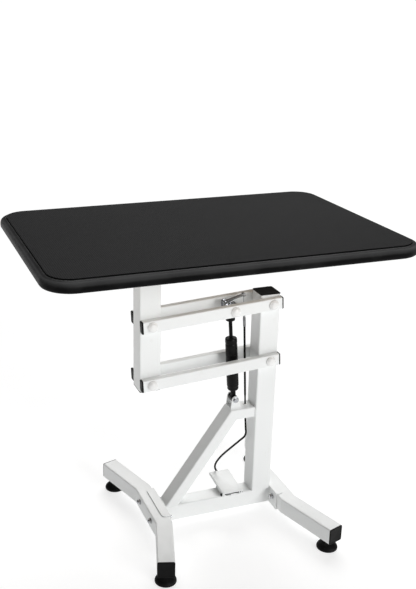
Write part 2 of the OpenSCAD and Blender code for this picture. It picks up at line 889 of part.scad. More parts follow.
// Folded plate with two side flanges and a hook that pulls the cable's wire
module pedal_plate() color(white) {
    half = pedal_width / 2;
    far = pedal_length - pedal_near;
    on_pedal() difference() {
        union() {
            translate([-half, -pedal_near, plate_over]) cube([pedal_width, pedal_length, plate]);
            for (x = [-half, half - plate]) {
                translate([x, -pedal_near, 2]) cube([plate, pedal_length, plate_over - 2]);
                rod_x(5.5, x, x + plate);
            }
            translate([10.5, far - 12, hook_drop]) cube([plate, 12, plate_over - hook_drop]);
            translate([-8.5, far - 10, hook_drop]) cube([19.5 + plate - 0.5, 20, plate]);
        }
        rod_x(pin_r + fit, -half - 1, half + 1);
        translate([stop_x - pedal_x, hook_y, hook_drop - 1]) cylinder(r = 1.6, h = 5);
    }
}

module pedal_nipple() color(zinc) {
    on_pedal() translate([stop_x - pedal_x, hook_y, hook_drop - 5]) cylinder(r = 3.5, h = 5);
}

module pedal_wire() color(zinc) {
    translate([stop_x, stop_y, pin_z - 12.5]) cylinder(r = wire_r, h = ferrule_top - pin_z + 12);
}

// Torsion spring round the pedal pin, one leg on the bracket and one under the plate
module pedal_spring() color(steel) {
    turns = 5.5;
    steps = 12;
    coil_r = 4.1;
    pitch = 2.4;
    last = turns * pitch;
    coil = [for (k = [0:turns * steps])
        [k * pitch / steps, -coil_r * sin(360 * k / steps), -coil_r * cos(360 * k / steps)]];
    low_leg = [[0, 22, -5.4], [0, 6, -5]];
    high_leg = [[last, 8, 4.8], [last, 22, 6.6]];
    translate([pedal_x - 16, pin_y, pin_z])
        sweep(concat(low_leg, coil, high_leg), 0.9, 8, [1, 0, 0]);
}

// ---- release cable ----

module cable_ferrules() color(black) {
    translate([139.6, 0, stub_top]) ring(6.5, 3.2, 3);
    translate([139.6, 0, stub_top - tube_wall]) ring(4.4, 3.2, tube_wall);
    translate([141.5, 0, stub_low - 2]) ring(6.5, 3.4, 2);
    translate([stop_x, stop_y, beam_top + plate]) ring(4.2, 2.4, ferrule_top - beam_top - plate);
}

module release_cable() color(black) {
    sweep(smooth(cable_route, 3), cable_r, cable_sides, [0, 1, 0]);
}

base_beam();
diagonal_brace();
spring_stub();
fixed_column();
column_cap();
saddle_brackets();
left_leg();
right_leg();
leg_end_caps();
leg_bolts();
leg_nuts();
foot_nuts();
spring_clevis();
clevis_bolt();
column_bushes();
pedal_bracket();
bracket_screws();
pedal_pin();
pedal_spring();
cable_ferrules();
release_cable();
pedal_wire();
pedal_plate();
pedal_nipple();
front_upper_arm();
rear_upper_arm();
upper_arm_caps();
upper_pivot_shafts();
trunnion_bolts();
upper_dome_caps();
front_lower_arm();
rear_lower_arm();
lower_arm_caps();
lower_pivot_shafts();
lower_dome_caps();
table_column();
table_column_cap();
table_column_bushes();
support_rails();
cross_bars();
table_board();
table_mat();
edge_trim();
board_screws();
spring_cylinder();
spring_eye();
spring_gland();
spring_rod();
spring_piston();
rod_collar();
release_head();
lever_pin();
cable_adjuster();
lever_wire();
release_lever();
valve_pin();
foot_front_left();
foot_rear_left();
foot_front_right();
foot_rear_right();
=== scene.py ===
import json
import math
import random

import bpy
import bmesh
from mathutils import Matrix, Vector


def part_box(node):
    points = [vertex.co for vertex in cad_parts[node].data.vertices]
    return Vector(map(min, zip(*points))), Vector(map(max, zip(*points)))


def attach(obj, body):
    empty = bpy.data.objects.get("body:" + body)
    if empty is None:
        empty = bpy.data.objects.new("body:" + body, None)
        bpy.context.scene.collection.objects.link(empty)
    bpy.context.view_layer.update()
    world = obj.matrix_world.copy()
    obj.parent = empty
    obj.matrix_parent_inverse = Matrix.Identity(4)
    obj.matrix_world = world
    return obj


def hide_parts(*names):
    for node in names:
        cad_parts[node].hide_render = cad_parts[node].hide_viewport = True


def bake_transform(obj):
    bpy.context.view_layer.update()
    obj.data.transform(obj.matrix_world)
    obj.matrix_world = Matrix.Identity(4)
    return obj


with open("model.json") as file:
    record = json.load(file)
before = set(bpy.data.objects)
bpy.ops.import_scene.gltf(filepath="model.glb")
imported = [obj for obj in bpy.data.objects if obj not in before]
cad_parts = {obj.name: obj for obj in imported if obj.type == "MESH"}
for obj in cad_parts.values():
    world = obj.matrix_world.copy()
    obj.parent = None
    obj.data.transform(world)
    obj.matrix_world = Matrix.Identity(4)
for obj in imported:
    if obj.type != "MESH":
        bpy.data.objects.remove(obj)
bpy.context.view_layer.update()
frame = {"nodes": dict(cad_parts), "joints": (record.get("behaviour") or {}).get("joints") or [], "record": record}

MM = 0.001
nodes = frame["nodes"]
scene = bpy.context.scene
pivots = {j["name"]: Vector(j["pos_m"]) for j in frame["joints"] if "pos_m" in j}

# ---------------------------------------------------------------- camera

# Solved from the photograph: angles in radians, place in metres, lens and sensor in millimetres
YAW, PITCH, ROLL = 0.36023, -0.34601, 0.01585
CAMERA_AT = (-0.77765, -1.91898, 1.41332)
LENS, SENSOR_WIDTH, SHIFT_X = 52.88, 36, 0.0475
FAR_CLIP = 100
right = Vector((math.cos(YAW), -math.sin(YAW), 0))
forward = Vector((math.sin(YAW) * math.cos(PITCH), math.cos(YAW) * math.cos(PITCH), math.sin(PITCH)))
up = right.cross(forward)
right_r = math.cos(ROLL) * right + math.sin(ROLL) * up
up_r = -math.sin(ROLL) * right + math.cos(ROLL) * up
camera_data = bpy.data.cameras.new("camera")
camera_data.sensor_width = SENSOR_WIDTH
camera_data.lens = LENS
camera_data.shift_x = SHIFT_X
camera_data.clip_end = FAR_CLIP
camera = bpy.data.objects.new("camera", camera_data)
scene.collection.objects.link(camera)
camera.matrix_world = Matrix.Translation(CAMERA_AT) @ Matrix(
    (right_r, up_r, -forward)).transposed().to_4x4()
scene.camera = camera

# ---------------------------------------------------------------- materials


class Nodes:
    """Short calls for building a material's nodes."""

    def __init__(self, name):
        self.material = bpy.data.materials.new(name)
        self.material.use_nodes = True
        self.tree = self.material.node_tree
        self.shader = self.tree.nodes["Principled BSDF"]
        self.place = self.add("ShaderNodeTexCoord").outputs["Object"]

    def add(self, kind, **values):
        node = self.tree.nodes.new(kind)
        for key, value in values.items():
            setattr(node, key, value)
        return node

    def link(self, source, target):
        self.tree.links.new(source, target)

    def feed(self, socket, value):
        """Gives a socket a value, or links another node's output to it."""
        if isinstance(value, (int, float, tuple)):
            socket.default_value = value
        else:
            self.link(value, socket)

    def stretch(self, scale):
        """Object coordinates multiplied by scale along each axis."""
        node = self.add("ShaderNodeMapping")
        node.inputs["Scale"].default_value = scale
        self.link(self.place, node.inputs["Vector"])
        return node.outputs["Vector"]

    def noise(self, scale, detail=3.0, rough=0.5, place=None):
        node = self.add("ShaderNodeTexNoise")
        node.inputs["Scale"].default_value = scale
        node.inputs["Detail"].default_value = detail
        node.inputs["Roughness"].default_value = rough
        self.link(place or self.place, node.inputs["Vector"])
        return node.outputs["Fac"]

    def facing_up(self):
        """The surface's own normal along Z, from -1 to 1."""
        split = self.add("ShaderNodeSeparateXYZ")
        self.link(self.add("ShaderNodeNewGeometry").outputs["Normal"], split.inputs[0])
        return split.outputs[2]

    def math(self, operation, a, b=0.0, clamp=False):
        node = self.add("ShaderNodeMath", operation=operation, use_clamp=clamp)
        self.feed(node.inputs[0], a)
        self.feed(node.inputs[1], b)
        return node.outputs[0]

    def span(self, value, low, high, out_low, out_high):
        """Carries low..high over to out_low..out_high and holds it there."""
        node = self.add("ShaderNodeMapRange")
        self.feed(node.inputs["Value"], value)
        for key, number in (("From Min", low), ("From Max", high), ("To Min", out_low), ("To Max", out_high)):
            node.inputs[key].default_value = number
        return node.outputs["Result"]

    def mix(self, factor, a, b):
        """Colour a where factor is 0, colour b where it is 1."""
        node = self.add("ShaderNodeMix", data_type="RGBA")
        self.feed(node.inputs["Factor"], factor)
        self.feed(node.inputs["A"], a)
        self.feed(node.inputs["B"], b)
        return node.outputs["Result"]

    def bump(self, height, distance, strength=1.0, under=None):
        node = self.add("ShaderNodeBump")
        node.inputs["Distance"].default_value = distance
        node.inputs["Strength"].default_value = strength
        self.link(height, node.inputs["Height"])
        if under is not None:
            self.link(under, node.inputs["Normal"])
        return node.outputs["Normal"]

    def set(self, **values):
        """Sets the shader's inputs, with _ in place of the spaces in their names."""
        for key, value in values.items():
            self.feed(self.shader.inputs[key.replace("_", " ")], value)


def grey(level):
    """Grey a touch towards blue."""
    return (level, level, level * 1.02, 1)


def powder_coat():
    """White powder coat: orange peel, fine grain, faint dust and handling marks."""
    n = Nodes("powder_coat")
    tone = n.span(n.noise(4.0, 2.0), 0.3, 0.7, 0, 1)
    dust = n.span(n.noise(38.0, 5.0, 0.6), 0.60, 0.8, 0, 0.4)
    base = n.mix(tone, (0.805, 0.818, 0.812, 1), (0.850, 0.862, 0.858, 1))
    marks = n.span(n.noise(26.0, 6.0, 0.75, n.stretch((1, 1, 5))), 0.66, 0.80, 0, 0.35)
    worn = n.mix(marks, n.mix(dust, base, (0.74, 0.74, 0.72, 1)), (0.66, 0.66, 0.64, 1))
    normal = n.bump(n.noise(1500.0, 2.0), 0.00006, 0.5, n.bump(n.noise(420.0, 1.0), 0.00022, 0.6))
    n.set(Base_Color=worn, Normal=normal, Roughness=n.span(n.noise(60.0, 3.0), 0.3, 0.7, 0.34, 0.48))
    n.shader.inputs["Specular IOR Level"].default_value = 0.35
    return n.material


def moulded(name, low, high, roughness, grain_scale, grain_depth, specular):
    """Moulded plastic or rubber: fine grain, uneven tone and rubbed streaks."""
    n = Nodes(name)
    tone = n.span(n.noise(22.0, 4.0, 0.6), 0.3, 0.7, 0, 1)
    grain = n.noise(grain_scale, 3.0, 0.6)
    scuff = n.span(n.noise(9.0, 5.0, 0.7, n.stretch((1, 1, 6))), 0.45, 0.8, 0, 0.14)
    n.set(Base_Color=n.mix(tone, low, high), Normal=n.bump(grain, grain_depth, 0.6),
          Roughness=n.math("ADD", roughness, scuff, True))
    n.shader.inputs["Specular IOR Level"].default_value = specular
    return n.material


def trim_painted_shade():
    """Satin edge trim whose colour carries painted light and shade: palest on its upper curve, where the light
    falls, darker on the flat lip and nearly black below.
    """
    n = Nodes("trim_painted_shade")
    grain = n.noise(900.0, 3.0, 0.6)
    ripple = n.noise(14.0, 3.0, 0.6)
    # Painted light: the colour follows how far the surface turns up, palest on the upper curve.
    band = n.math("POWER", n.span(n.facing_up(), -0.05, 0.80, 0, 1), 1.5, True)
    # Painted shade on the flat lip that faces straight up.
    top = n.math("MULTIPLY", band, n.span(n.facing_up(), 0.80, 0.97, 1, 0.12), True)
    top = n.math("ADD", top, n.span(ripple, 0.3, 0.7, -0.08, 0.08), True)
    # The pale flecks are scaled by the painted light, so they show only on the upper curve.
    fleck = n.span(n.noise(260.0, 4.0, 0.7), 0.62, 0.78, 0, 0.3)
    # Nearly black where the painted light is 0, on the faces that turn down.
    base = n.mix(top, (0.0022, 0.0022, 0.0023, 1), (0.074, 0.074, 0.0748, 1))
    flecked = n.mix(n.math("MULTIPLY", fleck, top), base, (0.090, 0.090, 0.090, 1))
    n.set(Base_Color=flecked, Normal=n.bump(grain, 0.00010, 0.6),
          Roughness=n.span(grain, 0.3, 0.7, 0.36, 0.48))
    n.shader.inputs["Specular IOR Level"].default_value = 0.05
    return n.material


def metal(name, low, high, roughness, brushed=(1, 1, 1), stain=0.0):
    """Metal with a fine grain, squeezed by brushed along each axis, and yellowish stains where asked for."""
    n = Nodes(name)
    tone = n.span(n.noise(70.0, 4.0, 0.6), 0.3, 0.7, 0, 1)
    lines = n.noise(900.0, 2.0, 0.5, n.stretch(brushed))
    base = n.mix(tone, low, high)
    if stain:
        base = n.mix(n.span(n.noise(160.0, 3.0), 0.55, 0.75, 0, stain), base, (0.62, 0.56, 0.42, 1))
    n.set(Base_Color=base, Normal=n.bump(lines, 0.00003, 0.5),
          Roughness=n.span(lines, 0.3, 0.7, roughness, roughness + 0.12))
    n.shader.inputs["Metallic"].default_value = 1.0
    return n.material


def mat_rubber():
    """Small studs set on the diagonal, over a fine leathery grain; painted shade makes the hollows between the
    studs darker and the faces that turn down at its edge nearly black.
    """
    n = Nodes("mat_rubber")
    stud_pitch, diagonal = 0.0066, 1.414
    turn = 2 * math.pi / stud_pitch / diagonal
    split = n.add("ShaderNodeSeparateXYZ")
    n.link(n.place, split.inputs[0])
    x, y = split.outputs[0], split.outputs[1]
    wave_a = n.math("SINE", n.math("MULTIPLY", n.math("ADD", x, y), turn))
    wave_b = n.math("SINE", n.math("MULTIPLY", n.math("SUBTRACT", x, y), turn))
    stud = n.span(n.math("MULTIPLY", wave_a, wave_b), -0.15, 0.3, 0, 1)
    grain = n.noise(2400.0, 3.0, 0.6)
    wide = n.span(n.noise(3.0, 3.0), 0.3, 0.7, 0, 1)
    lint = n.span(n.noise(300.0, 4.0, 0.7), 0.66, 0.8, 0, 0.35)
    base = n.mix(wide, (0.026, 0.026, 0.0265, 1), (0.032, 0.032, 0.0325, 1))
    # Painted shade: darker in the hollows between the studs; the pale specks are lint.
    stud_tone_and_painted_shade = n.mix(lint, n.mix(stud, (0.013, 0.013, 0.0133, 1), base), (0.055, 0.055, 0.055, 1))
    # Painted shade: faces that turn down from the top, as at the mat's edge, are made nearly black.
    stud_tone_and_painted_shade = n.mix(n.span(n.facing_up(), 0.35, 0.9, 0, 1), (0.0022, 0.0022, 0.0023, 1), stud_tone_and_painted_shade)
    n.set(Base_Color=stud_tone_and_painted_shade, Normal=n.bump(grain, 0.00008, 0.5, n.bump(stud, 0.0005, 0.7)),
          Roughness=n.span(grain, 0.3, 0.7, 0.58, 0.74))
    n.shader.inputs["Specular IOR Level"].default_value = 0.04
    return n.material


def board_wood():
    """Raw chipboard under the top."""
    n = Nodes("board_wood")
    chips = n.noise(180.0, 5.0, 0.7, n.stretch((1, 3, 1)))
    n.set(Base_Color=n.mix(n.span(chips, 0.35, 0.65, 0, 1), (0.20, 0.14, 0.09, 1), (0.36, 0.27, 0.18, 1)),
          Normal=n.bump(chips, 0.0002, 0.4), Roughness=n.span(chips, 0.3, 0.7, 0.68, 0.82))
    return n.material


white = powder_coat()
plastic = moulded("black_plastic", grey(0.0030), grey(0.0060), 0.42, 1400.0, 0.00008, 0.09)
rubber = moulded("foot_rubber", grey(0.0030), grey(0.0060), 0.50, 900.0, 0.00012, 0.10)
trim = trim_painted_shade()
dome = moulded("dome_plastic", (0.80, 0.80, 0.79, 1), (0.86, 0.86, 0.85, 1), 0.24, 500.0, 0.00003, 0.5)
jacket = moulded("cable_jacket", grey(0.0020), grey(0.0040), 0.34, 800.0, 0.00004, 0.12)
gloss = moulded("black_paint", grey(0.0020), grey(0.0040), 0.26, 500.0, 0.00004, 0.13)
zinc = metal("zinc_plate", (0.40, 0.41, 0.43, 1), (0.62, 0.63, 0.65, 1), 0.16, (1, 1, 1), 0.25)
steel = metal("drawn_steel", (0.20, 0.205, 0.21, 1), (0.36, 0.365, 0.37, 1), 0.24, (8, 8, 1))
rod = metal("black_rod", (0.006, 0.006, 0.0065, 1), (0.012, 0.012, 0.0125, 1), 0.20, (1, 1, 10))
mat = mat_rubber()
wood = board_wood()

FINISH = {
    "white_powder_coat": white, "black_plastic": plastic, "white_plastic": dome, "zinc_steel": zinc,
    "spring_steel": steel, "ground_rod": rod, "black_paint": gloss, "cable_jacket": jacket,
    "board": wood, "ribbed_rubber": mat, "trim_rubber": trim, "foot_rubber": rubber,
}
for part in frame["record"]["subparts"]:
    mesh = nodes[part["node"]].data
    mesh.materials.clear()
    mesh.materials.append(plastic if part["node"] == "pedal_pin" else FINISH[part["material_slot"]])

# ---------------------------------------------------------------- mesh tools

BEVEL_ANGLE = 40


def mm(points, base=0.0):
    """Turns (r, h) points in millimetres into metres, with their heights counted from base."""
    return [(r * MM, base + h * MM) for r, h in points]


def finish_piece(name, bm, slot_name, body, stands_for=(), bevel=0.0, sharp=35):
    """Turns bm into a shown piece with the material of its slot and its body, and hides the nodes it stands for.
    """
    bmesh.ops.recalc_face_normals(bm, faces=bm.faces)
    data = bpy.data.meshes.new(name)
    bm.to_mesh(data)
    bm.free()
    data.materials.append(FINISH[slot_name])
    data.shade_smooth()
    data.set_sharp_from_angle(angle=math.radians(sharp))
    obj = bpy.data.objects.new(name, data)
    scene.collection.objects.link(obj)
    if bevel:
        soften = obj.modifiers.new("edge", "BEVEL")
        soften.width = bevel
        soften.segments = 2
        soften.limit_method = "ANGLE"
        soften.angle_limit = math.radians(BEVEL_ANGLE)
    if body:
        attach(obj, body)
    if stands_for:
        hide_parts(*stands_for)
    return obj


def join_rings(bm, a, b):
    """Closed band of faces between two rings of equal length."""
    count = len(a)
    for k in range(count):
        bm.faces.new((a[k], a[(k + 1) % count], b[(k + 1) % count], b[k]))


def basis(origin, axis, side=(0, 1, 0)):
    """Matrix whose Z is axis and whose X is as near side as it can be."""
    z = Vector(axis).normalized()
    x = Vector(side) - z * Vector(side).dot(z)
    x.normalize()
    y = z.cross(x)
    turn = Matrix((x, y, z)).transposed().to_4x4()
    return Matrix.Translation(Vector(origin)) @ turn


def rounded_profile(points, radius=0.0006, steps=3):
    """The same (r, h) profile with its inner corners eased."""
    eased = [points[0]]
    for a, b, c in zip(points, points[1:], points[2:]):
        a, b, c = Vector(a), Vector(b), Vector(c)
        reach = min(radius, (a - b).length * 0.45, (c - b).length * 0.45)
        start, end = b + (a - b).normalized() * reach, b + (c - b).normalized() * reach
        for k in range(steps + 1):
            t = k / steps
            eased.append(tuple((1 - t) ** 2 * start + 2 * t * (1 - t) * b + t * t * end))
    return eased + [points[-1]]


def lathe(bm, profile, place, steps=40, ease=0.0006):
    """Turns an (r, h) profile round place's Z axis; ends at r 0 close to a point."""
    rings = []
    for r, h in rounded_profile(profile, ease):
        if r < 1e-6:
            rings.append([bm.verts.new(place @ Vector((0, 0, h)))])
        else:
            rings.append([bm.verts.new(place @ Vector((r * math.cos(2 * math.pi * k / steps),
                                                       r * math.sin(2 * math.pi * k / steps), h)))
                          for k in range(steps)])
    for a, b in zip(rings, rings[1:]):
        if len(a) == 1 or len(b) == 1:
            point, loop = (a[0], b) if len(a) == 1 else (b[0], a)
            for k in range(steps):
                bm.faces.new((point, loop[k], loop[(k + 1) % steps]))
        else:
            join_rings(bm, a, b)


def hexagon(bm, across, low, high, place, chamfer=0.0009):
    """Hexagonal nut or bolt head with both faces chamfered; across is half its width over corners."""
    flat = across * 0.90
    stages = [(flat, low), (across, low + chamfer), (across, high - chamfer), (flat, high)]
    rings = [[bm.verts.new(place @ Vector((r * math.cos(math.pi * k / 3), r * math.sin(math.pi * k / 3), h)))
              for k in range(6)] for r, h in stages]
    for a, b in zip(rings, rings[1:]):
        join_rings(bm, a, b)
    bm.faces.new(rings[0][::-1])
    bm.faces.new(rings[-1])


def outline(wide, deep, corner, steps=6):
    """Points round a rounded rectangle."""
    points = []
    for quarter, (sx, sy) in enumerate(((1, 1), (-1, 1), (-1, -1), (1, -1))):
        for k in range(steps + 1):
            turn = math.pi / 2 * (quarter + k / steps)
            points.append((sx * (wide / 2 - corner) + corner * math.cos(turn),
                           sy * (deep / 2 - corner) + corner * math.sin(turn)))
    return points


def loft(bm, wide, deep, corner, stages, place, steps=6, closed=False):
    """Stacks rounded rectangles: each stage is (inset, height)."""
    rings = []
    for inset, height in stages:
        shape = outline(wide - 2 * inset, deep - 2 * inset, max(corner - inset, 0.0002), steps)
        rings.append([bm.verts.new(place @ Vector((x, y, height))) for x, y in shape])
    for a, b in zip(rings, rings[1:]):
        join_rings(bm, a, b)
    if closed:
        join_rings(bm, rings[-1], rings[0])
    else:
        bm.faces.new(rings[0][::-1])
        bm.faces.new(rings[-1])


def box(bm, low, high, place):
    """Block between two corners, in place's axes."""
    corners = [bm.verts.new(place @ Vector((x, y, z)))
               for x in (low[0], high[0]) for y in (low[1], high[1]) for z in (low[2], high[2])]
    for face in ((0, 1, 3, 2), (4, 6, 7, 5), (0, 4, 5, 1), (2, 3, 7, 6), (0, 2, 6, 4), (1, 5, 7, 3)):
        bm.faces.new([corners[k] for k in face])


def tube(bm, path, radius, sides):
    """Round tube along a path of points; radius may be a number or one value for each point."""
    path = [Vector(p) for p in path]
    radii = radius if isinstance(radius, list) else [radius] * len(path)
    rings, side = [], Vector((0.31, 0.92, 0.24))
    for k, p in enumerate(path):
        ahead = (path[min(k + 1, len(path) - 1)] - path[max(k - 1, 0)]).normalized()
        side = (side - ahead * side.dot(ahead)).normalized()
        up_way = ahead.cross(side)
        rings.append([bm.verts.new(p + radii[k] * (math.cos(2 * math.pi * m / sides) * side
                                                   + math.sin(2 * math.pi * m / sides) * up_way))
                      for m in range(sides)])
    for a, b in zip(rings, rings[1:]):
        join_rings(bm, a, b)
    bm.faces.new(rings[0][::-1])
    bm.faces.new(rings[-1])


def smooth_path(points, steps=6):
    """Catmull-Rom curve through the points."""
    p = [Vector(v) for v in points]
    p = [2 * p[0] - p[1]] + p + [2 * p[-1] - p[-2]]
    out = []
    for a, b, c, d in zip(p, p[1:], p[2:], p[3:]):
        for k in range(steps):
            t = k / steps
            out.append(0.5 * (2 * b + (c - a) * t + (2 * a - 5 * b + 4 * c - d) * t * t
                              + (3 * b - a - 3 * c + d) * t ** 3))
    return out + [p[-2]]


def groups(node, key):
    """Box (low, high) of each group of a node's corners, grouped by key."""
    found = {}
    for v in nodes[node].data.vertices:
        found.setdefault(key(v.co), []).append(v.co)
    return {name: (Vector(map(min, zip(*points))), Vector(map(max, zip(*points))))
            for name, points in sorted(found.items())}


def middle(low_high):
    """Centre of a box (low, high)."""
    return (low_high[0] + low_high[1]) / 2


# ---------------------------------------------------------------- where things are

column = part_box("fixed_column")
table_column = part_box("table_column")
lift, table_pivot = pivots["lift"], pivots["table_level"]
arm_way = (table_pivot - lift).normalized()
spring_at = pivots["spring_tilt"]
spring_way = Vector(next(j["axis"] for j in frame["joints"] if j["name"] == "spring_stroke"))
spring = basis(spring_at, spring_way, (1, 0, 0))
pedal_at = pivots["pedal"]

# ---------------------------------------------------------------- top

top_low, top_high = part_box("edge_trim")
top_wide, top_deep = top_high.x - top_low.x, top_high.y - top_low.y
top_corner, trim_wide = 70 * MM, 18 * MM
on_top = Matrix.Translation((0, 0, top_high.z))

# In millimetres: the mat's edge, the lip beside it, the trim's upper curve and the one under its nose
mat_inset, trim_lip, curve_wide, curve_tall, nose = 16.0, 14.4, 14.3, 14, 9
curve_steps, nose_steps = 14, 9
bm = bmesh.new()
loft(bm, top_wide, top_deep, top_corner,
     mm([(mat_inset, -3), (mat_inset, -0.8), (mat_inset + 0.15, -0.4), (mat_inset + 0.5, -0.12),
         (mat_inset + 1.1, 0)]), on_top, 14)
finish_piece("mat_sheet", bm, "ribbed_rubber", "table", ["table_mat"])

bm = bmesh.new()
section = [(trim_wide, -26 * MM), (trim_wide, -3.1 * MM)] + mm([(trim_lip + 0.2, -3.0), (trim_lip, -2.75)])
for k in range(1, curve_steps + 1):
    turn = math.pi / 2 * k / curve_steps
    section.append(((curve_wide - curve_wide * math.sin(turn)) * MM,
                    (-16.6 + curve_tall * math.cos(turn)) * MM))
section.append((0, -20.5 * MM))
for k in range(1, nose_steps + 1):
    turn = math.pi / 2 * k / nose_steps
    section.append(((nose - nose * math.cos(turn)) * MM, (-21 - nose * math.sin(turn)) * MM))
section += mm([(32.2, -30), (33, -29.3), (33, -25.6), (32.2, -25), (19, -25)])
loft(bm, top_wide, top_deep, top_corner, section, on_top, 16, closed=True)
finish_piece("trim_bullnose", bm, "trim_rubber", "table", ["edge_trim"], sharp=50)

# ---------------------------------------------------------------- feet

FEET = {"front_left_foot": "foot_front_left", "rear_left_foot": "foot_rear_left",
        "front_right_foot": "foot_front_right", "rear_right_foot": "foot_rear_right"}
PAD = mm([(0, 1.2), (20, 1.2), (21, 0), (27.2, 0), (28, 1.5), (28, 4.5), (26.5, 8.2), (23, 12), (18, 15.5),
          (13.4, 18), (12, 20), (11.8, 27.4), (11, 28), (0, 28)])


def threaded(crest, root, low, high, pitch, flank):
    """Zigzag (r, h) profile of a screw thread; flank is the height from a crest to the root above it."""
    points = []
    height = low
    while height < high:
        points += [(crest, height), (root, height + flank)]
        height += pitch
    return points


STUD_THREAD = threaded(5, 4.5, 28.4, 57, 1.25, 0.6)
for body, node in FEET.items():
    centre = middle(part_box(node))
    place = Matrix.Translation((centre.x, centre.y, 0))
    bm = bmesh.new()
    lathe(bm, PAD, place, 48, 0.9 * MM)
    finish_piece("pad_" + body, bm, "foot_rubber", body, [node])
    bm = bmesh.new()
    lathe(bm, mm([(0, 27), (5, 27)] + STUD_THREAD + [(4.4, 57.6), (0, 57.6)]), place, 20, 0.0)
    hexagon(bm, 8.6 * MM, 27.2 * MM, 29.8 * MM, place)
    finish_piece("stud_" + body, bm, "zinc_steel", body)

# ---------------------------------------------------------------- end caps


def plug(bm, wide, deep, corner, thick, place):
    """Moulded tube plug: eased rim round a slightly sunk middle."""
    back = mm([(2.2, -9), (2.2, 0), (0.15, 0), (0, 0.4)])
    front = mm([(0, -1.1), (0.35, -0.35), (1.1, 0), (2.6, 0), (3.3, -0.6), (5.0, -0.75)], thick)
    loft(bm, wide, deep, corner, back + front, place, 6)


def quadrant(co):
    """Whether a corner is on the right, and whether it is at the rear."""
    return (co.x > 0, co.y > 0)


def corners_in(node, quarter):
    """A node's corners in one quadrant, seen from above."""
    return [v.co for v in nodes[node].data.vertices if quadrant(v.co) == quarter]


LEG_SPLAY = math.radians(17.5)
CAP_THICK = 4 * MM
bm = bmesh.new()
leg_low, leg_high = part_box("leg_end_caps")
leg_tall = leg_high.z - leg_low.z
for quarter, low_high in groups("leg_end_caps", quadrant).items():
    is_right, is_rear = quarter
    way_x, way_y = (1 if is_right else -1), (1 if is_rear else -1)
    way = Vector((math.sin(LEG_SPLAY) * way_x, math.cos(LEG_SPLAY) * way_y, 0))
    corners = corners_in("leg_end_caps", quarter)
    centre = middle(low_high)
    face = centre + way * (max(co.dot(way) for co in corners) - CAP_THICK - centre.dot(way))
    across = way.cross(Vector((0, 0, 1)))
    sides = [co.dot(across) for co in corners]
    face += across * ((max(sides) + min(sides)) / 2 - face.dot(across))
    plug(bm, leg_tall, leg_tall, 4 * MM, 3 * MM, basis(face, way, (0, 0, 1)))
finish_piece("leg_plugs", bm, "black_plastic", "frame", ["leg_end_caps"])

arm_across = arm_way.cross(Vector((0, 1, 0)))
for node, body, root in (("upper_arm_caps", "upper_arms", lift),
                         ("lower_arm_caps", "lower_arms", pivots["lower_arm"])):
    bm = bmesh.new()
    for quarter, (low, high) in groups(node, quadrant).items():
        way = -arm_way if quarter[0] else arm_way
        reach = max(co.dot(way) for co in corners_in(node, quarter))
        face = root.copy()
        face.y = (low.y + high.y) / 2
        face += way * (reach - CAP_THICK - face.dot(way))
        plug(bm, 32 * MM, 18 * MM, 3 * MM, 4 * MM, basis(face, way, arm_across))
    finish_piece(node.replace("caps", "plugs"), bm, "black_plastic", body, [node])

for node, body, tube_box, way in (("column_cap", "frame", column, 1),
                                  ("table_column_cap", "table", table_column, -1)):
    bm = bmesh.new()
    low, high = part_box(node)
    edge = tube_box[1].z if way > 0 else tube_box[0].z
    centre = middle(tube_box)
    plug(bm, high.x - low.x, high.y - low.y, 4 * MM, 3 * MM,
         basis((centre.x, centre.y, edge), (0, 0, way), (1, 0, 0)))
    finish_piece(node + "_plug", bm, "black_plastic", body, [node])

# ---------------------------------------------------------------- domes, bolts, nuts

DOME = mm([(0, 9.0), (4.0, 8.75), (7.6, 7.7), (10.2, 6.0), (11.1, 4.9), (11.5, 4.2), (12.4, 4.1), (13.0, 3.4),
           (13.0, 0)])
BETWEEN_DOMES = 12 * MM


def dome_box(node, run, side):
    """Box of a node's corners that lie within run along X, on the rear (1) or front (-1) side."""
    slack = 0.1 * MM
    return groups(node, lambda co: run[0] - slack <= co.x <= run[-1] + slack and co.y * side > 0)[True]


for node, body in (("upper_dome_caps", "upper_arms"), ("lower_dome_caps", "lower_arms")):
    bm = bmesh.new()
    spread = sorted({round(v.co.x, 4) for v in nodes[node].data.vertices})
    runs = [[spread[0]]]
    for x in spread[1:]:
        if x - runs[-1][-1] > BETWEEN_DOMES:
            runs.append([])
        runs[-1].append(x)
    for run in runs:
        for side in (-1, 1):
            low, high = dome_box(node, run, side)
            centre = middle((low, high))
            foot = low.y if side > 0 else high.y
            lathe(bm, DOME, basis((centre.x, foot, centre.z), (0, side, 0), (1, 0, 0)), 40, 0.5 * MM)
    finish_piece(node + "_moulded", bm, "white_plastic", body, [node])


def fastener_places(node, outward):
    """Place on the outer (outward 1) or inner (-1) tip of each of a node's fasteners, Z pointing off it."""
    for (is_right, _), (low, high) in groups(node, quadrant).items():
        way = outward if is_right else -outward
        centre = middle((low, high))
        yield basis((high.x if way > 0 else low.x, centre.y, centre.z), (way, 0, 0), (0, 0, 1))


def washer(bm, hole, radius, low, high, place, ease):
    """Washer whose upper face rises a little towards its hole."""
    lathe(bm, [(hole, low), (radius, low), (radius, high), (hole, high + 0.2 * MM)], place, 32, ease)


# Radius of the M8 bolts in millimetres
M8 = 4
bm = bmesh.new()
for place in fastener_places("leg_bolts", 1):
    lathe(bm, mm([(0, -56), (M8, -56), (M8, -11)]), place, 20, 0)
    washer(bm, M8 * MM, 8.5 * MM, -9.9 * MM, -8.5 * MM, place, 0.3 * MM)
    hexagon(bm, 7.6 * MM, -8.4 * MM, -3.8 * MM, place)
    lathe(bm, mm([(6.2, -4.2), (6.0, -2.8), (4.6, -1.2), (2.4, -0.2), (0, 0)]), place, 28, 0.8 * MM)
finish_piece("leg_bolts_domed", bm, "zinc_steel", "frame", ["leg_bolts"])

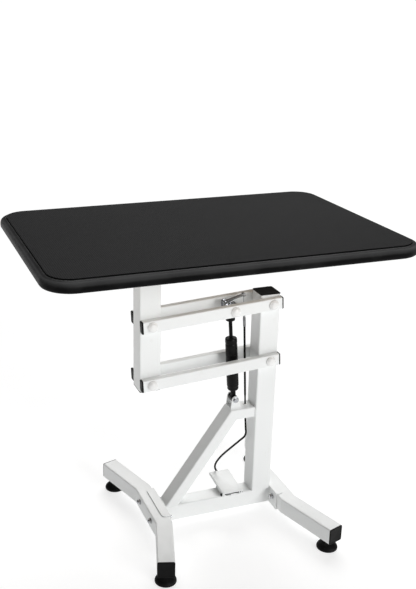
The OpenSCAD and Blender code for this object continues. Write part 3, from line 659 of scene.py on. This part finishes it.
bm = bmesh.new()
low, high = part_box("clevis_bolt")
place = basis((spring_at.x, 0, spring_at.z), (0, 1, 0), (1, 0, 0))
lathe(bm, mm([(0, -0.2), (3.2, -0.2), (M8, -1)], high.y) + mm([(M8, 2)], low.y), place, 24, 0.2 * MM)
hexagon(bm, 7.2 * MM, low.y, low.y + 4.6 * MM, place)
lathe(bm, mm([(M8, 4.5), (8.2, 4.6), (8.2, 5.5), (M8, 5.5)], low.y), place, 32, 0.2 * MM)
hexagon(bm, 7.2 * MM, high.y - 9 * MM, high.y - 2.5 * MM, place)
finish_piece("clevis_bolt_turned", bm, "zinc_steel", "frame", ["clevis_bolt"])

bm = bmesh.new()
for place in fastener_places("leg_nuts", -1):
    washer(bm, M8 * MM, 8 * MM, -8 * MM, -6.5 * MM, place, 0.3 * MM)
    hexagon(bm, 7.2 * MM, -6.4 * MM, 0, place, 1.1 * MM)
    lathe(bm, mm([(M8, -4), (M8, 2.6), (3.1, 3.6), (0, 3.6)]), place, 20, 0.2 * MM)
finish_piece("leg_nuts_chamfered", bm, "zinc_steel", "frame", ["leg_nuts"])

bm = bmesh.new()
low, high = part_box("spring_clevis")
base = low.z
ear_r, ear_from, ear_to, ear_steps = 10.5 * MM, 8, 172, 12
loft(bm, high.x - low.x, high.y - low.y, 2 * MM, mm([(0.3, 0), (0, 0.3), (0, 2.6), (0.4, 3)], base),
     Matrix.Translation(((low.x + high.x) / 2, 0, 0)), 4)
ear = [(low.x + 0.6 * MM, base + 1 * MM), (high.x - 0.6 * MM, base + 1 * MM),
       (high.x - 1.4 * MM, base + 6 * MM)]
for k in range(ear_steps + 1):
    turn = math.radians(ear_from + (ear_to - ear_from) * k / ear_steps)
    ear.append((spring_at.x + ear_r * math.cos(turn), spring_at.z + ear_r * math.sin(turn)))
ear.append((low.x + 1.0 * MM, base + 8 * MM))
for y0, y1 in ((low.y + 1 * MM, low.y + 4 * MM), (high.y - 4 * MM, high.y - 1 * MM)):
    rings = [[bm.verts.new((x, y, z)) for x, z in ear] for y in (y0, y1)]
    join_rings(bm, rings[0], rings[1])
    bm.faces.new(rings[0][::-1])
    bm.faces.new(rings[1])
finish_piece("clevis_pressed", bm, "white_powder_coat", "frame", ["spring_clevis"], bevel=0.4 * MM)

# ---------------------------------------------------------------- gas spring


def along_spring(node):
    """Lowest and highest height of a node along the gas spring's axis, from its lower pin."""
    heights = [(v.co - spring_at).dot(spring_way) for v in nodes[node].data.vertices]
    return min(heights), max(heights)


low, high = along_spring("spring_cylinder")
bm = bmesh.new()
lower_end = mm([(7, 0.2), (11, 0), (14, 2), (15.2, 5), (15.2, 9), (14.7, 10.5), (15.2, 12), (16, 14)], low)
upper_end = mm([(16, -18), (15.1, -16.4), (15.1, -15.2), (16, -13.6), (16, -3.5), (15, -0.8), (13.5, 0),
                (9, 0.9), (8.4, 1.8), (5.1, 2.2), (5.1, -2)], high)
lathe(bm, lower_end + upper_end, spring, 48, 0.9 * MM)
finish_piece("gas_cylinder_turned", bm, "black_paint", "gas_cylinder", ["spring_cylinder", "spring_gland"])

low, high = along_spring("rod_collar")
bm = bmesh.new()
flange = mm([(5.1, 0), (11.2, 0), (12.2, 0.6), (12.5, 1.6), (12.5, 10), (11.6, 11), (9, 11.2)], low)
lathe(bm, flange + mm([(9, -0.2), (5.1, -0.2)], high), spring, 40, 0.8 * MM)
finish_piece("rod_collar_turned", bm, "black_paint", "gas_rod", ["rod_collar"])

low, high = along_spring("cable_adjuster")
wire_across = middle(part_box("lever_wire")) - spring_at
wire_across = wire_across - spring_way * wire_across.dot(spring_way)
wire_line = Matrix.Translation(wire_across) @ spring
bm = bmesh.new()
barrel = mm([(1.1, 0), (3.0, 0), (3.8, 0.8)], low)
height = low + 2 * MM
while height < low + 24 * MM:
    barrel += mm([(3.8, 0), (3.3, 0.55), (3.8, 1.1)], height)
    height += 2.6 * MM
barrel += mm([(3.8, 25), (3.0, 26)], low)
height = low + 27 * MM
while height < high - 2 * MM:
    barrel += mm([(3.0, 0), (2.6, 0.5)], height)
    height += 1.0 * MM
lathe(bm, barrel + mm([(2.6, -0.4), (1.1, 0)], high), wire_line, 24, 0.12 * MM)
plate_low = along_spring("release_head")[0]
for nut_low in (-4.1, 3.6):
    hexagon(bm, 6 * MM, plate_low + nut_low * MM, plate_low + (nut_low + 4) * MM, wire_line)
finish_piece("cable_adjuster_turned", bm, "spring_steel", "gas_rod", ["cable_adjuster"])

wire_low, wire_high = along_spring("lever_wire")
WIRE_R, WIRE_SIDES = 0.8 * MM, 10
bm = bmesh.new()
tube(bm, [wire_line @ Vector((0, 0, wire_low + (wire_high - wire_low) * k / 40)) for k in range(41)],
     WIRE_R, WIRE_SIDES)
piece = finish_piece("lever_wire_strand", bm, "zinc_steel", None, ["lever_wire"])
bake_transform(piece)

# ---------------------------------------------------------------- release cable

# From just inside the top of the stub down to the pedal, the cable is fixed to the frame. The rest is a piece
# of its own, whose thinner end overlaps the first in the stub and just below it.
# Up to 10 mm above the stub it goes with the cylinder, which moves less than 0.7 mm there.
stub_low, stub_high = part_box("spring_stub")[0].z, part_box("spring_stub")[1].z
cable_points = [(139.2, 0, 330), (140.2, 0, 318), (141.5, 0, 304), (143, 0, 288), (145, 1, 262),
                (147, 2, 245), (145, 7, 230), (135, 13, 217), (123, 20, 202), (111, 26, 188), (99, 35, 171),
                (90, 45, 153), (84, 56, 132), (84, 64, 115), (88, 68, 102), (93, 68.5, 94), (93.5, 68.5, 88)]
JACKET_R, JACKET_SIDES = 2.75 * MM, 16
bm = bmesh.new()
tube(bm, smooth_path([Vector(p) * MM for p in cable_points]), JACKET_R, JACKET_SIDES)
finish_piece("cable_lower", bm, "cable_jacket", "frame")

cable_top = wire_line @ Vector((0, 0, low - 0.3 * MM))
cable_low = Vector((142.6, 0, 282)) * MM
upper_r, tail_r, tail_from, rows = 2.9 * MM, 2.3 * MM, 22, 30
bm = bmesh.new()
tube(bm, [cable_top.lerp(cable_low, k / rows) for k in range(rows + 1)],
     [upper_r if k < tail_from else tail_r for k in range(rows + 1)], JACKET_SIDES)
piece = finish_piece("cable_upper", bm, "cable_jacket", None, ["release_cable"])
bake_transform(piece)


def grommet(bm, x, base, height, way):
    """Grommet on the stub's upper (way 1) or lower (-1) wall, with the cable through it."""
    bore, rim = 3.1, 6.5
    lathe(bm, mm([(bore, -1.5), (bore, height - 0.4), (bore + 0.6, height), (rim - 1.8, height),
                  (rim - 0.4, height - 1.0), (rim, 0.2), (rim, 0), (rim - 2, 0), (rim - 2.3, -1.5)]),
          basis((x * MM, 0, base), (0, 0, way), (1, 0, 0)), 32, 0.3 * MM)


bm = bmesh.new()
grommet(bm, 139.6, stub_high, 3, 1)
grommet(bm, 141.5, stub_low, 2, -1)
at = middle(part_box("pedal_wire"))
lathe(bm, mm([(2.5, 75.5), (4.2, 75.5), (4.2, 86), (3.6, 88), (2.5, 88)]),
      Matrix.Translation((at.x, at.y, 0)), 28, 0.5 * MM)
finish_piece("cable_grommets", bm, "white_plastic", "frame", ["cable_ferrules"])

# ---------------------------------------------------------------- pedal

low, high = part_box("pedal_plate")
half = (high.x - low.x) / 2
PEDAL_SLOPE = math.radians(5.5)
tread = basis(pedal_at, (0, -math.sin(PEDAL_SLOPE), math.cos(PEDAL_SLOPE)), (1, 0, 0))
near, far = -7.5 * MM, 94.5 * MM
plate, end_ease = 2.5 * MM, 0.6 * MM
skirt = [(x - half, z) for x, z in mm([(0, 2), (0, 6.6), (0.3, 7.9), (1.1, 8.7), (2.4, 9)])]
inner = [(x + plate - half, z) for x, z in mm([(1.0, 6.5), (0.2, 6.0), (0, 5.2), (0, 2)])]
outer = skirt + [(-x, z) for x, z in reversed(skirt)]
section = outer + [(-x, z) for x, z in reversed(inner)] + inner
bm = bmesh.new()
rings = []
for y, trim_in in ((near, end_ease), (near + end_ease, 0), (far - end_ease, 0), (far, end_ease)):
    rings.append([bm.verts.new(tread @ Vector((x * (1 - trim_in / half), y, z))) for x, z in section])
for a, b in zip(rings, rings[1:]):
    join_rings(bm, a, b)
for ring in (rings[0], rings[-1]):
    left_out, right_out = ring[:len(skirt)], ring[len(skirt):len(outer)]
    right_in, left_in = ring[len(outer):len(outer) + len(inner)], ring[len(outer) + len(inner):]
    bm.faces.new(left_out + left_in)
    bm.faces.new(right_out + right_in)
    bm.faces.new([left_out[-1], right_out[0], right_in[-1], left_in[0]])
for side in (-1, 1):
    ear = tread @ Matrix.Translation((side * half, 0, 0)) @ Matrix.Rotation(-side * math.pi / 2, 4, "Y")
    lathe(bm, [(2.55 * MM, 0), (5.5 * MM, 0), (5.5 * MM, plate), (2.55 * MM, plate)], ear, 32, 0.25 * MM)
# The drop under the far end, and the hook plate at its foot that the wire's nipple sits under
box(bm, (10.5 * MM, far - 12 * MM, -24 * MM), (13 * MM, far - 0.7 * MM, 6.6 * MM), tread)
box(bm, (-8.5 * MM, far - 10 * MM, -24 * MM), (13 * MM, far + 10 * MM, -21.5 * MM), tread)
finish_piece("pedal_tread", bm, "white_powder_coat", "pedal", ["pedal_plate"], bevel=0.35 * MM)

low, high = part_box("pedal_wire")
at = middle((low, high))
bm = bmesh.new()
tube(bm, [(at.x, at.y, high.z + (low.z - high.z) * k / 20) for k in range(21)], WIRE_R, WIRE_SIDES)
piece = finish_piece("pedal_wire_strand", bm, "zinc_steel", None, ["pedal_wire"])
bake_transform(piece)

low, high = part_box("pedal_spring")
coil_r, coil_pitch, coil_turns, per_turn = 4.1, 2.4, 5.5, 16
coil = []
for k in range(int(coil_turns * per_turn) + 1):
    turn = 2 * math.pi * k / per_turn
    coil.append(Vector((k * coil_pitch / per_turn, -coil_r * math.sin(turn), -coil_r * math.cos(turn))))
leg_in = [Vector((0, 22, -5.4)), Vector((0, 6, -5.0))]
leg_out = [Vector((13.2, 8, 4.8)), Vector((13.2, 22, 6.6))]
spring_wire_r = 0.9 * MM
start = Vector((low.x + spring_wire_r, pedal_at.y, pedal_at.z))
bm = bmesh.new()
tube(bm, [start + p * MM for p in leg_in + coil + leg_out], spring_wire_r, WIRE_SIDES)
piece = finish_piece("pedal_spring_coil", bm, "spring_steel", None, ["pedal_spring"])
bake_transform(piece)

# ---------------------------------------------------------------- weld beads

rng = random.Random(11)


def bead(bm, a, b, radius=1.7 * MM):
    """Weld bead from a to b: overlapping ripples of uneven size."""
    a, b = Vector(a), Vector(b)
    ripple, stray, sides = 1.1 * MM, 0.15, 10
    count = max(6, int((b - a).length / ripple))
    wobble = [Vector([rng.uniform(-stray, stray) for _ in range(3)]) * MM for _ in range(count + 1)]
    radii = [radius * (0.82 + 0.22 * abs(math.sin(1.3 * k)) + rng.uniform(-0.05, 0.05))
             for k in range(count + 1)]
    radii[0] = radii[-1] = radius * 0.35
    tube(bm, [a.lerp(b, k / count) + wobble[k] for k in range(count + 1)], radii, sides)


def bead_along(bm, x0, x1, y, z, radius=1.7 * MM):
    """Bead along X."""
    bead(bm, (x0, y, z), (x1, y, z), radius)


def bead_across(bm, x, half_width, z):
    """Bead along Y, across the middle."""
    bead(bm, (x, -half_width, z), (x, half_width, z))


beam, brace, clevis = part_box("base_beam"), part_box("diagonal_brace"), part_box("spring_clevis")
beam_top, side_y = beam[1].z, brace[1].y
bm = bmesh.new()
for s in (-1, 1):
    bead_along(bm, brace[0].x + 3 * MM, brace[0].x + 38 * MM, s * (side_y - 3.4 * MM), beam_top)
    bead(bm, (column[0].x, s * side_y, stub_low + 3 * MM), (column[0].x, s * side_y, stub_high - 3 * MM))
    bead_along(bm, column[0].x + 3 * MM, column[1].x - 3 * MM, s * (side_y - 1 * MM), beam_top)
    bead_along(bm, clevis[0].x + 1 * MM, clevis[1].x - 1 * MM, s * clevis[1].y, stub_high, 1.2 * MM)
    for x in (beam[0].x, beam[1].x):
        bead(bm, (x, s * beam[1].y, beam[0].z + 4 * MM), (x, s * beam[1].y, beam_top - 4 * MM))
for x, z in ((column[0].x, stub_high), (column[0].x, stub_low), (column[0].x, beam_top),
             (brace[0].x + 1 * MM, beam_top)):
    bead_across(bm, x, side_y - 4 * MM, z)
finish_piece("weld_beads_base", bm, "white_powder_coat", "frame", sharp=80)

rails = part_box("support_rails")
under = rails[0].z
bm = bmesh.new()
for x in (table_column[0].x, table_column[1].x):
    bead_across(bm, x, table_column[1].y - 4 * MM, under)
inside_y = rails[1].y - 25 * MM
for x0, x1 in ((table_column[0].x - 24 * MM, table_column[0].x - 1 * MM),
               (table_column[1].x + 1 * MM, table_column[1].x + 24 * MM)):
    for s in (-1, 1):
        bead_along(bm, x0, x1, s * inside_y, under + 1 * MM, 1.4 * MM)
finish_piece("weld_beads_top", bm, "white_powder_coat", "table", sharp=80)

# ---------------------------------------------------------------- stage and light

# The camera sees a brighter world than the one that lights the table
FLOOR_GLOW, WORLD_LIGHT, WORLD_SEEN = 0.68, 0.14, 1.05
FLOOR_REACH = 60
floor_mesh = bpy.data.meshes.new("floor")
floor_corners = [(x * FLOOR_REACH, y * FLOOR_REACH, 0) for x, y in ((-1, -1), (1, -1), (1, 1), (-1, 1))]
floor_mesh.from_pydata(floor_corners, [], [(0, 1, 2, 3)])
floor = bpy.data.objects.new("floor", floor_mesh)
scene.collection.objects.link(floor)
n = Nodes("studio_floor")
tone = n.mix(n.span(n.noise(2.0, 3.0), 0.3, 0.7, 0, 1), (0.43, 0.43, 0.43, 1), (0.45, 0.45, 0.45, 1))
n.set(Base_Color=tone, Emission_Color=(1.0, 1.0, 1.0, 1.0), Emission_Strength=FLOOR_GLOW)
n.shader.inputs["Roughness"].default_value = 0.9
n.shader.inputs["Specular IOR Level"].default_value = 0.0
floor_mesh.materials.append(n.material)

world = bpy.data.worlds.new("studio")
world.use_nodes = True
sky = world.node_tree
seen = sky.nodes.new("ShaderNodeMapRange")
sky.links.new(sky.nodes.new("ShaderNodeLightPath").outputs["Is Camera Ray"], seen.inputs["Value"])
seen.inputs["To Min"].default_value = WORLD_LIGHT
seen.inputs["To Max"].default_value = WORLD_SEEN
sky.nodes["Background"].inputs["Color"].default_value = (1, 1, 1, 1)
sky.links.new(seen.outputs["Result"], sky.nodes["Background"].inputs["Strength"])
scene.world = world
scene.view_settings.view_transform = "Standard"


def distant(name, way, strength, softness):
    """Large far light that shines from the direction way."""
    data = bpy.data.lights.new(name, "SUN")
    data.energy = math.pi * strength
    data.angle = math.radians(softness)
    light = bpy.data.objects.new(name, data)
    scene.collection.objects.link(light)
    light.matrix_world = (-Vector(way)).to_track_quat("-Z", "Y").to_matrix().to_4x4()


distant("front_key", (0.36, -0.86, 0.30), 0.52, 24)
distant("back_top", (0.30, 0.60, 0.74), 0.66, 40)
